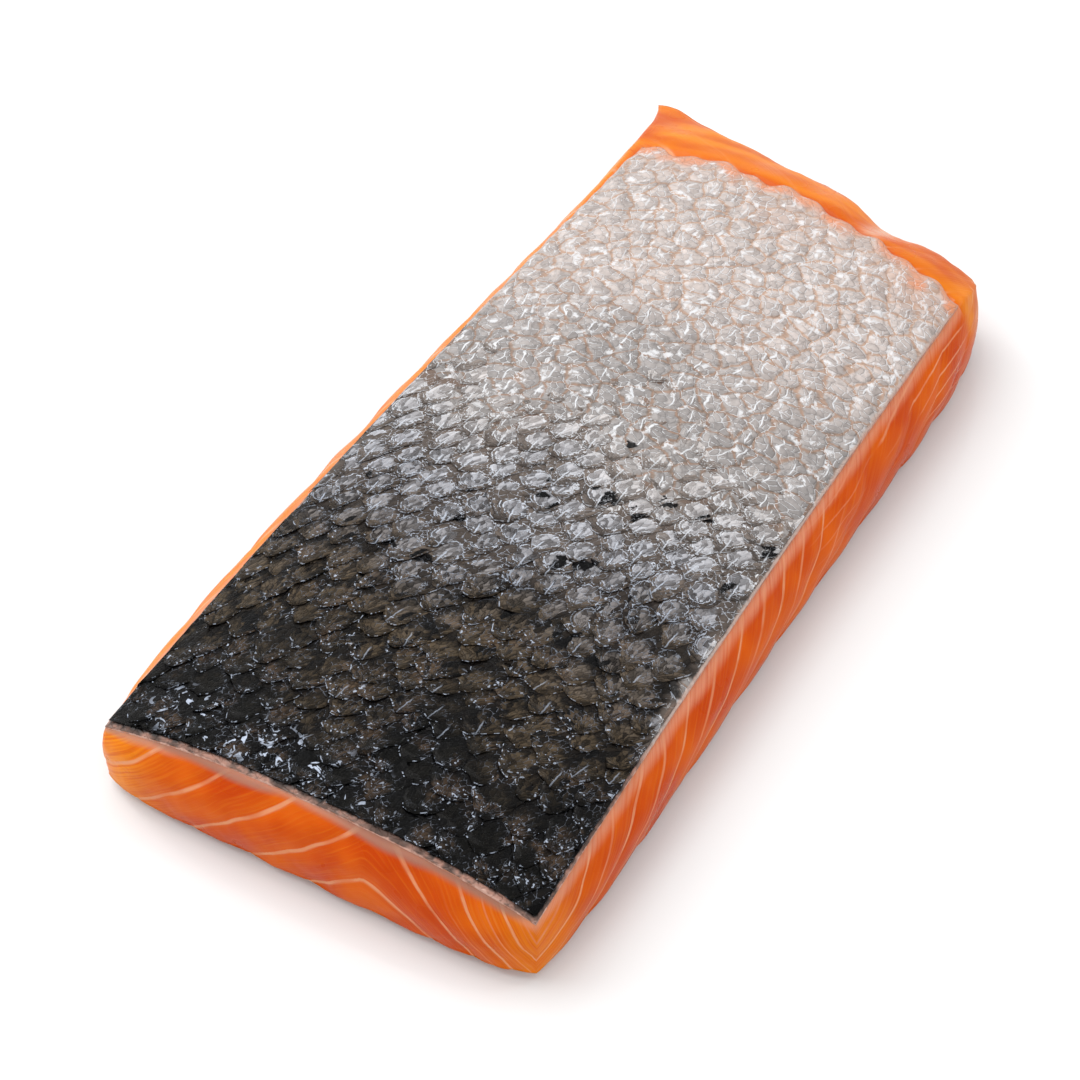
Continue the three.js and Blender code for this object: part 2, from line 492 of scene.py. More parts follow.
def flesh_finish():
    """Orange muscle, then its membranes where the count is whole, then the fat by its depth."""
    r = Recipe("wet_salmon_flesh")
    count, depth = r.field("membrane_count"), r.field("depth")
    belly, side_on = r.field("belly_band"), r.field("side_on")
    fibres = r.noise(60.0, 2.0, 0.6, place=r.pair(r.times(count, 0.3), r.times(depth, 0.002)))
    streaks = r.noise(110.0, 2.0, 0.6, place=r.stretched((0.12, 1.0, 1.6), (0, 0, -0.18)))
    clouds = r.noise(70.0, 2.0, 0.55)

    # Muscle: deep and light orange in clouds, pale fibres, amber corners, and the streaked belly end.
    colour = r.mix(r.span(clouds, 0.35, 0.7), FLESH_DEEP, FLESH_ORANGE)
    colour = r.mix(r.times(r.span(fibres, 0.45, 0.75), 0.35), colour, FLESH_PALE)
    colour = r.mix(r.times(r.field("amber"), r.span(fibres, 0.3, 0.6, 0.35, 0.9)), colour, CORNER_AMBER)
    colour = r.mix(belly, colour, r.mix(r.span(streaks, 0.32, 0.66), BAND_DEEP, BAND_AMBER))

    # Membranes where the count is whole, and fainter ones at its halves and, in one corner, its thirds.
    ragged = r.swing(fibres, 0.09)
    breaks = r.span(r.noise(160.0, 2.0), 0.3, 0.6, 0.5, 1.0)
    shown = r.times(r.span(belly, 0.0, 1.0, 1.0, 0.12), r.falling(r.field("layered"), 0.2, 0.8))
    off_whole = r.math("WRAP", r.plus(count, ragged), 0.5, -0.5)
    off_line = r.times(off_whole, r.span(side_on, 0.0, 1.0, 1.0, 1.9))
    line = r.times(r.span(off_line, -0.085, -0.02), r.falling(off_line, 0.012, 0.05))
    colour = r.mix(r.times(line, breaks, shown, 0.85), colour, MEMBRANE_PALE)
    off_half = r.math("PINGPONG", r.plus(count, 0.5), 0.5)
    half_line = r.times(r.falling(off_half, 0.006, 0.045), r.field("half_lines"), breaks, shown)
    colour = r.mix(r.times(half_line, 0.55), colour, MEMBRANE_PALE)
    off_third = r.math("PINGPONG", r.times(r.plus(count, r.times(ragged, 0.5)), 3.0), 0.5)
    third_line = r.times(r.falling(off_third, 0.02, 0.12), r.field("corner"))
    colour = r.mix(r.times(third_line, 0.12), colour, MEMBRANE_PALE)

    # Pale layers on the right side towards the belly end, and the fold.
    off_layer = r.math("PINGPONG", r.plus(r.field("layers"), ragged), 0.5)
    layer_line = r.times(r.falling(off_layer, 0.01, 0.1), r.span(r.noise(60.0, 2.0), 0.35, 0.6))
    colour = r.mix(r.times(layer_line, r.field("layered"), 0.75), colour, LAYER_PALE)
    colour = r.mix(r.times(r.field("pale_fold"), r.span(fibres, 0.3, 0.6, 0.4, 0.85)), colour, FOLD_PALE)

    # The pale band and the stained line of fat, just below the skin.
    uneven = r.plus(depth, r.swing(clouds, 2.0))
    pale_side = r.times(r.falling(uneven, 0.4, 2.2), side_on, r.span(fibres, 0.3, 0.6, 0.4, 0.8))
    colour = r.mix(pale_side, colour, SIDE_PALE)
    stained = r.mix(r.span(streaks, 0.45, 0.62), FAT_PINK, FAT_STAIN)
    colour = r.mix(r.times(r.falling(uneven, 0.3, 1.7), r.field("fat")), colour, stained)

    height = r.plus(r.times(fibres, 0.5), r.times(r.noise(700.0, 1.0), 0.2))
    rough = r.span(clouds, 0.3, 0.7, 0.25, 0.42)
    return r.finish(
        Base_Color=colour, Roughness=rough, Normal=r.bump(height, 0.0002, 0.7), Subsurface_Weight=0.2,
        Subsurface_Radius=(1.0, 0.3, 0.1), Subsurface_Scale=0.002, Specular_IOR_Level=0.06)


# %% [markdown]
# ## The flesh
#
# The flesh is the slab's form with the marks of the flakes on its cut sides: each flake swells a little
# between its membranes and sinks in at them. A displacement texture could do that, but the mesh would
# then hold only the plain slab. Here every point moves inwards along its normal by a depth worked out
# from the membrane count, and the moved mesh is what is kept.

# %% Make the flesh
FLESH_CELLS = (110, 230, 34)
SLAB_HALF = {"across": 42, "along": 98}
SLAB_THICK = 16
FLAKE = {"sink": 0.42, "sharpness": 0.6, "lost_past_skin": 0.7}
FLESH_UNEVEN = ((0.22, 11, 31), (0.08, 3.2, 32))
BELLY_EDGE = {"amount": 0.6, "reach": 1.3}
BELLY_CORNER = {"amount": 0.9, "reach": 2.0}
TIP_KEPT_SHARP = 7
TIP_OUT = {"left": 3.0, "left_sharpness": (14, 12), "back": 1.9, "back_sharpness": (30, 30)}
FAR_BELOW_SKIN = 6.0

# Where the flesh is a clearer amber: corners in plan, each with a width and an amount, and the left strip.
NEAR_RIGHT, NEAR_LEFT, FAR_LEFT = (44, -93), (-44, -96), (-41, 96)
AMBER = ((NEAR_RIGHT, 9, 0.6), (NEAR_LEFT, 12, 1.7), (FAR_LEFT, 20, 1.0))
AMBER_STRIP = 0.9
LAYER = {"spacing": 2.5, "slope": 0.09, "wander": 2.2}


def rounded(off_edge, amount, reach):
    """How far a point near an edge moves in to round it. The edge itself goes the whole way, along its
    slanting normal, and the points beside it go 0.7 of that, so that none passes the edge."""
    return amount * bell(off_edge, reach) * np.where(off_edge > 1e-6, 0.7, 1.0)


def flesh_inwards(u, v, w, points, depth, count, past_skin):
    """How far each point sinks: a groove at each whole count, an uneven share, and a rounded belly edge.
    Just below the skin nothing sinks, so that the skin still covers the flesh."""
    sink = FLAKE["sink"] * (1 - np.abs(np.sin(np.pi * count)) ** FLAKE["sharpness"])
    sink = sink * (1 - FLAKE["lost_past_skin"] * past_skin)
    uneven = sum(amount * (1 - waves(points, length, seed)) / 2 for amount, length, seed in FLESH_UNEVEN)
    to_belly = (1 - v) * SLAB_HALF["along"]
    edge = rounded(np.hypot(to_belly, (1 - w) * SLAB_THICK), **BELLY_EDGE)
    corner = rounded(np.hypot(to_belly, (1 - np.abs(u)) * SLAB_HALF["across"]), **BELLY_CORNER)
    at_tip = bell(np.hypot(to_belly, (1 + u) * SLAB_HALF["across"]), TIP_KEPT_SHARP)
    rounding = np.maximum(edge, corner * ease(u, -0.5, 0.5)) * (1 - at_tip)
    clear = np.clip(ease(depth, 0.4, 3.5) + past_skin, 0, 1)
    return (sink + uneven) * clear + rounding


def flesh_marks(u, v, w, points, past_skin):
    """The fields that the finish reads besides the membrane count and the depth, each 0 to 1 but for the
    count of the layers, which rise along the right side towards the belly end."""
    x, y, z = points.T
    amber = sum(amount * bell(off_spot(points, spot), width) for spot, width, amount in AMBER)
    amber = amber + AMBER_STRIP * ease(-u, 0.97, 1.0) * ease(w, 0.4, 0.9)
    return {
        "belly_band": past_skin * ease(w, 0.3, 0.8),
        "amber": np.clip(amber, 0, 1),
        "half_lines": ease(x, 25, 42) * (1 - ease(y, 10, 40)),
        "side_on": ease(u, 0.9, 1.0),
        "corner": bell(off_spot(points, NEAR_RIGHT), 11),
        "fat": (0.85 - 0.75 * ease(y, -75, 0)) * (1 - 0.75 * ease(u, 0.9, 1.0)),
        "layers": (z - LAYER["slope"] * y + LAYER["wander"] * waves(points, 38, 33)) / LAYER["spacing"],
        "layered": ease(u, 0.96, 1.0) * ease(y, -5, 30),
        "pale_fold": fold_at(u + FOLD["slant"] * (1 - v)) ** 9 * past_skin,
    }


def flesh_piece():
    """The slab's form, sunk along its normals, with the left tip of the belly end drawn out sideways."""
    corners, quads = block_lattice(FLESH_CELLS)
    u, v = (2 * corners[:, axis] / FLESH_CELLS[axis] - 1 for axis in (0, 1))
    w = corners[:, 2] / FLESH_CELLS[2]
    points = slab_point(u, v, w)
    depth = top_height(u, v) - points[:, 2]
    count = membrane_count(u, v, points[:, 2])
    past_skin = ease(v, skin_end(u) - 0.01, skin_end(u) + 0.03)
    inwards = flesh_inwards(u, v, w, points, depth, count, past_skin)
    points -= point_normals(points, quads) * inwards[:, None]
    for axis, way in ((0, "left"), (1, "back")):
        end_sharpness, side_sharpness = TIP_OUT[way + "_sharpness"]
        points[:, axis] -= TIP_OUT[way] * nearing(v, end_sharpness) * nearing(-u, side_sharpness)
    points[:, 2] = np.maximum(points[:, 2], 0)
    fields = {"membrane_count": count, "depth": np.where(past_skin > 0.5, FAR_BELOW_SKIN, depth)}
    fields.update(flesh_marks(u, v, w, points, past_skin))
    return mesh_piece("salmon_flesh", points, [quads], flesh_finish(), fields)


flesh = flesh_piece()

# %% [markdown]
# ## The skin below the scales
#
# The skin itself is a soft sheet. It shows at its cut edge, between the scales, and where it thins out to
# a pinkish membrane at the belly end. It could be a plane with Solidify, but its edges would be square.
# Here its top is a fine grid, its underside, which the flesh hides, is a coarser one, and a wall of
# rings joins them. The last ring is sewn on with many-sided faces, so no point is left inside an edge.
#
# From the back end to the belly end the skin goes from near black through taupe, with black spots, to
# silver. One field holds how far it has gone, and the skin and the scales both read it.

# %% Sizes of the skin's marks
SKIN_CELLS = (140, 272)
UNDERSIDE_RATIO = 4
SKIN_TEAR = 0.011
SILVER_ALONG = ((-84, 0.0), (-66, 0.11), (-45, 0.19), (-30, 0.37),
                (-15, 0.5), (5, 0.66), (30, 0.88), (50, 1.0))
FRAYED_SILVER = 0.62
FULL_TURN = 6.28
SPOTS = {"x": (-40, 40), "y": (-85, -12), "size": (0.5, 1.1), "count": 40}
LARGE_SPOTS = ((-0.9, -13.8, 1.8), (9.6, -13.9, 1.4), (16.2, -13.8, 1.7), (19, -8.4, 1.3),
               (26.7, -7, 1.4), (39.0, -6.1, 1.7), (10.3, -30.5, 2.4), (14.8, -28.3, 1.8),
               (7.9, -44.7, 1.8), (19.5, -44.6, 2.0), (26.5, -45.5, 1.7), (37.2, -18, 1.5),
               (-12.2, -42.2, 2.0), (-12, -30.9, 1.5), (-30, -69.3, 2.0), (6.7, 0.2, 1.1),
               (-18.7, -42, 1.4))


def skin_uv(side, along):
    """u and v on the slab of a place on the skin: along runs from the back end to the torn belly end."""
    tear = SKIN_TEAR * np.sin(9.3 * side) * np.sin(23.1 * side + 0.7)
    v = across(-1, skin_end(side) + tear, along)
    return across(skin_left(v), 1, side), v


def flat_place(x, y):
    """X, Y and no height, for a field that is the same at every height."""
    return np.stack([x, y, np.zeros_like(x)], -1)


def spot_field(x, y):
    """Dark spots: star-like blots, each a disc whose radius swings three and five times a turn."""
    chance = np.random.default_rng(51)
    small = [[chance.uniform(*SPOTS[key]) for key in ("x", "y", "size")] for _ in range(SPOTS["count"])]
    total = np.zeros_like(x)
    for cx, cy, size in [*LARGE_SPOTS, *small]:
        phase = chance.uniform(0, FULL_TURN)
        angle, off = np.arctan2(y - cy, x - cx), np.hypot(x - cx, y - cy)
        ragged = 0.85 * size * (1 + 0.45 * np.sin(3 * angle + phase) + 0.35 * np.sin(5 * angle + 2 * phase))
        total = np.maximum(total, 1 - ease(off, 0.6 * ragged, 1.3 * ragged))
    return total


def skin_marks(x, y):
    """The fields that the skin and its scales share, each 0 to 1: silver, by knots along the slab; the
    clear membrane near the belly end; dark spots; and where a painted wet gleam lies along the back end.
    The right border is frayed, and there the silver shows further towards the back."""
    place = flat_place(x, y)
    knots, silver = np.array(SILVER_ALONG).T
    to_right = CROWN_HALF["across"] * (1 - crown_uv(x, y)[0])
    frayed = 1 - ease(to_right + 0.8 * waves(place, 4, 57), 0.4, 2.6)
    frayed *= ease(y, -64, -50) * (1 - ease(y, -10, 20))
    gone = np.interp(y + 6 * waves(place, 30, 52), knots, silver)
    return {
        "silver": np.maximum(gone, FRAYED_SILVER * frayed),
        "membrane": ease(y + 0.16 * x + 3 * waves(place, 14, 53), 60, 82),
        "spots": spot_field(x, y),
        "wet_gleam": ease(-y, 84, 88) * (1 - ease(-y, 93, 96)) * ease(x, -40, -30) * (1 - ease(x, 0, 22)),
    }


# %% Skin surface
SHEET_HALF = {"across": 42, "along": 86}

# The border's colours count the way in from a side about double, so they stay narrower there.
RIM_HALF = {"across": 92, "along": 86}

# Drops and lifts are in millimetres, and a reach is how far in from the border a drop is felt.
EDGE_ROUND = {"drop": 0.5, "reach": 1.4}
SKIN_BELOW_SCALES = 0.45
BARE_SILVER = (0.56, 0.78)
TORN_END = {"drop": 0.55, "reach": 7}
UNEVEN = {"under_scales": 0.1, "more_if_bare": 0.08}
LEAST_LIFT = 0.12
RING_SHARES = (0.55, 0.0)
RING_DROP = -0.1
UNDERSIDE_LIFT = -0.2


def skin_sheet(cells, lift):
    """Grid of points on the slab's crown, lifted by that much, and where each is on the sheet."""
    side, along = np.meshgrid(*(np.linspace(-1, 1, count + 1) for count in cells), indexing="ij")
    u, v = skin_uv(side, along)
    x, y = plan_point(u, v)
    return side, along, np.stack([x, y, top_height(u, v) + lift], -1) + CENTRE


def border(index):
    """The point numbers round a grid, once round anticlockwise from above."""
    return np.concatenate([index[:-1, 0], index[-1, :-1], index[:0:-1, -1], index[0, :0:-1]])


def off_border(side, along, half):
    """How far inside the sheet's border a place is: the nearer of a side and an end."""
    return np.minimum((1 - np.abs(side)) * half["across"], (1 - np.abs(along)) * half["along"])


def top_lift(place, to_edge, to_belly):
    """Height of the skin over the crown: less where plates cover it, less towards its border and its torn
    end, and uneven by waves."""
    bare = ease(skin_marks(*place[:, :2].T)["silver"], *BARE_SILVER)
    lift = SKIN_TOP - SKIN_BELOW_SCALES * (1 - bare)
    lift = lift - EDGE_ROUND["drop"] * (1 - ease(to_edge, 0, EDGE_ROUND["reach"]))
    uneven = UNEVEN["under_scales"] + UNEVEN["more_if_bare"] * bare
    uneven = uneven * waves(flat_place(*place[:, :2].T), 4, 56)
    lift -= TORN_END["drop"] * (1 - ease(to_belly, 0, TORN_END["reach"])) - uneven
    return np.maximum(lift, LEAST_LIFT)


def sewn_faces(top, ring_starts, under):
    """Faces between grids of point numbers: the top, a wall from ring to ring, a seam of many-sided faces
    from the last ring to the coarser underside, and the underside, facing down."""
    rings = [border(top)]
    rings += [start + np.arange(len(rings[0])) for start in ring_starts]
    walls = [np.stack([a, b, np.roll(b, -1), np.roll(a, -1)], -1) for a, b in zip(rings, rings[1:])]
    steps = [np.roll(rings[-1], -k)[::UNDERSIDE_RATIO] for k in range(UNDERSIDE_RATIO + 1)]
    rim = border(under)
    seam = np.stack([rim, np.roll(rim, -1), *steps[::-1]], -1)
    return [grid_quads(top), *walls, seam, grid_quads(under)[:, ::-1]]


def skin_piece(material):
    """A closed sheet on the slab's crown. It stores how far each point is past the border, and how far the
    skin has faded towards its torn end."""
    side, along, crown = skin_sheet(SKIN_CELLS, 0)
    top_index = np.arange(side.size).reshape(side.shape)
    side, along, crown = side.ravel(), along.ravel(), crown.reshape(-1, 3)
    to_belly = (1 - along) * SHEET_HALF["along"]
    points = crown.copy()
    points[:, 2] += top_lift(crown, off_border(side, along, SHEET_HALF), to_belly)

    upper = border(top_index)
    lifted = points[upper] - crown[upper]
    rings = [crown[upper] + [[0, 0, RING_DROP]] + lifted * share for share in RING_SHARES]
    _, _, under = skin_sheet([n // UNDERSIDE_RATIO for n in SKIN_CELLS], UNDERSIDE_LIFT)
    starts = len(points) + len(upper) * np.arange(len(rings) + 1)
    under_index = starts[-1] + np.arange(under[..., 0].size).reshape(under.shape[:2])
    all_points = np.concatenate([points, *rings, under.reshape(-1, 3)])

    past_rim = -off_border(side, along, RIM_HALF)
    wall = np.concatenate([past_rim, np.full(len(upper), 0.5), np.ones(len(upper) + under_index.size)])
    to_belly = np.concatenate([to_belly, np.zeros(len(all_points) - len(points))])
    fading = 1 - ease(to_belly + 1.2 * waves(all_points, 6, 58), 0, 6)
    fields = {**skin_marks(all_points[:, 0], all_points[:, 1]), "wall": wall, "fading": fading}
    faces = sewn_faces(top_index, starts[:-1], under_index)
    return mesh_piece("salmon_skin", all_points, faces, material, fields)


# %% [markdown]
# ## Skin finish
#
# The bare skin is a wet film. At the silver end it is a net of thin tan lines, the edges of the scales'
# pockets, round crumpled silver foil, and it clears to pink where it is torn. Plates could make the foil
# too, but it lies flat there, so its cells are cut by a Voronoi pattern and lifted by bump. Each cell is
# painted lighter on one side and darker on the other, with painted shade along its folds and painted white
# highlights on folds and creases. Its cut edge is mottled: grey and dark at the top, pale pink below.

# %% Skin material
SILVER_BODY = paint(190, 183, 179)
FOIL_BLUE = paint(162, 164, 171)
SILVER_WARM = paint(176, 163, 155)
SILVER_ROSE = paint(186, 175, 170)
SILVER_GREY = paint(149, 144, 142)
POCKET_TAUPE = paint(122, 109, 99)
POCKET_ROSE = paint(180, 154, 138)
TAUPE_BODY = paint(92, 83, 77)
DARK_BODY = paint(10, 9, 7)
DARK_OLIVE = paint(64, 54, 41)
DARK_BROWN = paint(70, 55, 42)
MEMBRANE_PINK = paint(190, 160, 145)
FADING_PINK = paint(216, 140, 100)
TAN_LINE = paint(152, 122, 105)
TAN_PALE = paint(178, 146, 125)
BLACK_GAP = paint(5, 5, 6)
# Painted highlights, white and bluish, that stand in for light caught on folds, creases and rims.
PAINTED_HIGHLIGHT_WHITE = paint(222, 223, 226)
GLINT_BLUE = paint(188, 198, 216)
WALL_GREY = paint(134, 108, 98)
WALL_DARK = paint(74, 60, 54)
WALL_PINK = paint(176, 132, 116)
WALL_PALE = paint(208, 166, 150)
FRAYED_PALE = paint(200, 176, 165)

# The net of pockets: its stretch and turn, how irregular its cells are, and how many facets one holds
# across. A crease runs along a scale, and these are the directions across and along it in the net.
NET = {"stretch": (198, 244, 1), "turn": (0, 0, -0.5), "spread": 0.8, "facets": 3.1}
CREASE_SIDE = (0.878, -0.479, 0)
CREASE_ALONG = (0.479, 0.878, 0)


def skin_finish():
    """Dark film between plates, silver foil in a tan net with painted light and shade on its facets, painted
    streaks of light, spots, and a cut edge.
    """
    r = Recipe("wet_bare_skin")
    silver, wall, fading, membrane = (r.field(n) for n in ("silver", "wall", "fading", "membrane"))

    # Noises, and the net with each cell's own chance number, crease and facets.
    patches = r.noise(420.0, 2.0, 0.6)
    clouds = r.noise(130.0, 2.0, 0.6)
    fine = r.noise(900.0, 2.0, 0.6)
    off_mean = r.math("SUBTRACT", patches, 0.5)
    slow = r.swing(clouds, 0.9)
    warp = r.pair(r.plus(r.times(off_mean, 0.26), slow), r.math("SUBTRACT", r.times(off_mean, 0.22), slow))
    place = r.vector("ADD", r.stretched(NET["stretch"], NET["turn"]), warp)
    outputs = ("Distance", "Position", "Color")
    net, middle, own = (r.cells(1.0, output, place, NET["spread"]) for output in outputs)
    lot = r.span(own, 0.1, 0.9)
    off = r.vector("SUBTRACT", place, middle)
    beside, ahead = (r.vector("DOT_PRODUCT", off, axis, "Value") for axis in (CREASE_SIDE, CREASE_ALONG))
    facet = r.span(r.cells(NET["facets"], "Color", place), 0.1, 0.9)
    fold = r.cells(NET["facets"], "Distance", place)

    # Film, then foil in its pockets, clear membrane, and the lightness of each facet, with painted light and
    # shade.
    colour = r.mix(r.span(silver, 0.15, 0.5), BLACK_GAP, TAUPE_BODY)
    foil = r.mix(r.span(silver, 0.62, 1.0), SILVER_GREY, SILVER_ROSE)
    pocket = r.mix(r.span(silver, 0.55, 1.0), POCKET_TAUPE, POCKET_ROSE)
    foil = r.mix(r.span(r.plus(net, r.swing(fine, 0.22)), 0.02, 0.11), pocket, foil)
    colour = r.mix(r.span(silver, 0.4, 0.7), colour, foil)
    colour = r.mix(r.times(membrane, r.span(clouds, 0.35, 0.65, 0.6, 1.0)), colour, MEMBRANE_PINK)
    light = r.plus(0.83, r.times(facet, 0.34), r.swing(fine, 0.6))
    # Painted shade: darker along the folds between facets, and each cell lighter on one side and darker on
    # the other, as if lit from one side.
    light = r.times(light, r.span(fold, 0.02, 0.14, 0.93, 1.01), r.span(beside, -0.3, 0.3, 1.08, 0.92))
    colour = r.mix(r.span(membrane, 0.0, 1.0, 1.0, 0.5), colour, r.shaded(colour, light))
    faded = r.times(r.span(fading, 0.2, 1.0), r.span(clouds, 0.3, 0.6, 0.75, 1.0))
    colour = r.mix(faded, colour, FADING_PINK)

    # The tan strands of the net.
    tan = r.mix(r.span(silver, 0.6, 1.0), TAN_LINE, TAN_PALE)
    strand = r.times(r.falling(net, 0.016, 0.058), r.span(silver, 0.5, 0.7),
                     r.span(fine, 0.3, 0.55, 0.25, 0.75), r.span(fading, 0.2, 1.0, 1.0, 0.3),
                     r.span(membrane, 0.0, 1.0, 1.0, 0.6))
    colour = r.mix(strand, colour, tan)

    # Painted highlights: white on folds, on a few facets and along creases; then dark spots.
    fold_glint = r.times(r.falling(fold, 0.016, 0.065), r.span(fine, 0.43, 0.51),
                     r.span(clouds, 0.36, 0.5, 0.4, 1.0))
    bright = r.times(r.span(facet, 0.9, 0.93), r.span(fold, 0.05, 0.1), r.span(fine, 0.47, 0.56))
    bend = r.math("ABSOLUTE", r.plus(beside, r.times(off_mean, 0.1)))
    crease_glint = r.times(r.falling(bend, 0.018, 0.05), r.falling(r.math("ABSOLUTE", ahead), 0.24, 0.42),
                     r.math("GREATER_THAN", lot, 0.35), r.span(silver, 0.8, 1.1, 1.0, 0.5))
    painted_glints = r.most(r.times(r.most(fold_glint, bright), 0.75), crease_glint)
    shine = r.times(painted_glints, r.span(silver, 0.3, 0.6), r.span(fading, 0.3, 1.0, 1.0, 0.35))
    colour = r.mix(shine, colour, PAINTED_HIGHLIGHT_WHITE)
    colour = r.mix(r.span(r.plus(r.field("spots"), off_mean), 0.42, 0.6), colour, BLACK_GAP)

    # The border and the cut edge, by how far a place is past the rim.
    mottled = r.mix(r.span(patches, 0.4, 0.6), WALL_GREY, WALL_PINK)
    mottled = r.mix(r.times(r.span(clouds, 0.45, 0.6), 0.8), mottled, WALL_DARK)
    mottled = r.mix(r.span(silver, 0.2, 0.6), mottled, FRAYED_PALE)
    past_rim = r.plus(wall, r.times(off_mean, 2.4))
    colour = r.mix(r.times(r.span(past_rim, -1.3, -0.3), r.falling(fading, 0.0, 0.8)), colour, mottled)
    pinks = r.mix(r.span(patches, 0.4, 0.6), WALL_PINK, WALL_PALE)
    colour = r.mix(r.span(past_rim, 0.0, 0.5), colour, pinks)

    dome = r.times(r.span(net, 0.0, 0.3), r.span(silver, 0.5, 0.75), r.span(membrane, 0.0, 1.0, 1.0, 0.3))
    height = r.plus(dome, r.times(fine, 0.3), r.span(fold, 0.0, 0.2, 0.0, 0.5))
    return r.finish(
        Base_Color=colour, Roughness=0.26, Normal=r.bump(height, 0.0005, 0.65), Specular_IOR_Level=0.2)


# %% Make the skin
skin = skin_piece(skin_finish())

# %% [markdown]
# ## Scales
#
# A salmon's scales lie in staggered rows like roof tiles, each with a rounded free edge over the next.
# They could be painted on the skin, but a painted scale has no edge to catch the light. Here one plate,
# a square grid drawn into an oval, is worked out for every scale at once: its place on the lattice, its
# own tilt, crease and crumple, and its climb from a sunk root to a raised free edge. The plates stop a
# little way into the silver, where the scales lie flat and the skin's own net draws them.

# %% The lattice of scales
SCALE_PITCH = {"across": 6.2, "rows": 4.75}
SCALE_ROWS, SCALE_COLUMNS = (-24, 24), (-11, 12)
SCALE_JITTER = 0.85
SCALE_LOTS = 8
ROW_RISE = {"rise": 0.2, "until": (-10, 60)}
ROW_LEAN = 0.06
ROW_WANDER = 0.9
LAST_SILVER = {"least": 0.54, "spread": 0.22}


def lattice_place(a, b):
    """X and Y of a place on the lattice: the rows rise to the right in the lower half, and both the rows
    and the columns wander a little."""
    place = flat_place(a, b)
    lower = 1 - ease(b, *ROW_RISE["until"])
    x = a + ROW_WANDER * waves(place, 45, 41) + ROW_LEAN * b
    return x, b + ROW_RISE["rise"] * a * lower + ROW_WANDER * waves(place, 50, 42)


def scale_centres():
    """Lattice places of all scales, staggered by half a pitch in every other row and jittered, and the
    chance numbers of each."""
    rows, columns = np.meshgrid(np.arange(*SCALE_ROWS), np.arange(*SCALE_COLUMNS), indexing="ij")
    chance = np.random.default_rng(43)
    shift = SCALE_JITTER * (2 * chance.random(rows.shape + (2,)) - 1)
    a = (columns + 0.5 * (rows % 2)) * SCALE_PITCH["across"] + shift[..., 0]
    return a, rows * SCALE_PITCH["rows"] + shift[..., 1], chance.random(rows.shape + (SCALE_LOTS,))


def shown_scales():
    """Lattice places and chance numbers of the scales that are on the skin and not yet past the silver
    that each stops at. The silver is read shifted by CENTRE, 10 mm nearer the back, so the plates run on."""
    a, b, lots = scale_centres()
    x, y = lattice_place(a, b)
    u, v = crown_uv(x, y)
    on_skin = (u > skin_left(np.clip(v, -1, 1)) - 0.03) & (u < 0.99) & (v > -1.02)
    silver = skin_marks(x + CENTRE[0], y + CENTRE[1])["silver"]
    kept = on_skin & (silver < LAST_SILVER["least"] + LAST_SILVER["spread"] * lots[..., 5])
    return a[kept], b[kept], lots[kept]


# %% The outline of a plate
PLATE_CELLS = 5
SCALE = {"half_width": 4.4, "half_length": 5.8, "root": 1.25, "power": 1.4}
SCALE_GROWTH = (0.86, 1.16)
RAGGED = ((3, 0.07), (5, 0.05), (9, 0.035))
NEXT_SCALES = ((-0.5, 1), (0.5, 1), (0, 2))
FAR_OFF = 9.0


def plate_grid():
    """Points of one plate, -1..1 both ways: a square grid drawn into a disc, x = s sqrt(1 - t^2/2), and the
    quads between them, with its border once round."""
    steps = np.linspace(-1, 1, PLATE_CELLS + 1)
    s, t = np.meshgrid(steps, steps, indexing="ij")
    index = np.arange(s.size).reshape(s.shape)
    disc_x, disc_y = s * np.sqrt(1 - t**2 / 2), t * np.sqrt(1 - s**2 / 2)
    return disc_x.ravel()[None], disc_y.ravel()[None], grid_quads(index), border(index)


def plate_outline(disc_x, disc_y, lot):
    """How far each point of a plate is across and along from its scale's root: the disc drawn into an oval
    where |x|^p + |y|^p is 1, ragged by three waves round it, and each scale grown by its own share."""
    round_by, power = np.hypot(disc_x, disc_y), SCALE["power"]
    pointed = round_by / (np.abs(disc_x) ** power + np.abs(disc_y) ** power + 1e-9) ** (1 / power)
    turn = np.arctan2(disc_y, disc_x)
    ragged = sum(swing * np.sin(n * turn + FULL_TURN * lot[..., n % SCALE_LOTS]) for n, swing in RAGGED)
    drawn = np.where(round_by > 0, pointed, 1) * (1 + ragged * round_by**2)
    drawn = drawn * lerp(*SCALE_GROWTH, lot[..., 2])
    return SCALE["half_width"] * disc_x * drawn, SCALE["root"] + SCALE["half_length"] * disc_y * drawn


def outside_scale(dx, dy, shift_a, shift_b):
    """How far a place lies outside the free edge of the scale whose root is that far off: the oval's own
    measure, less 1, times its half length."""
    across_it = np.abs(dx - shift_a) / SCALE["half_width"]
    along_it = np.maximum(SCALE["root"] + shift_b - dy, 0) / SCALE["half_length"]
    power = SCALE["power"]
    return ((across_it**power + along_it**power) ** (1 / power) - 1) * SCALE["half_length"]


def gap_below(dx, dy):
    """How far a place on a plate is from the nearest of the three scales that lie over it."""
    gap = np.full(dx.shape, FAR_OFF)
    for columns, rows in NEXT_SCALES:
        off = outside_scale(dx, dy, columns * SCALE_PITCH["across"], rows * SCALE_PITCH["rows"])
        gap = np.minimum(gap, off)
    return gap


# %% Plates on the crown
KEEP_IN = {"side": 0.3, "back": 0.8, "belly": 1.0, "torn": 1.6}
SOFTNESS = 0.22
PLATE = {"below_top": 0.3, "root": -0.2, "tip": 0.18, "down_at_belly": 0.2, "roof": 0.22}
CALM = {"loss": 0.9, "silver": (0.3, 0.68)}
TILT = (0.07, 0.05)
CREASE = {"aside": 1.4, "lean": 0.5}
CRUMPLE = {"fold": 0.13, "fine": 0.05, "apart": 3.0}


def softly_below(value, limit):
    """value where it is well below limit, and levelling off at limit: a soft minimum."""
    return limit - SOFTNESS * np.logaddexp(0, (limit - value) / SOFTNESS)


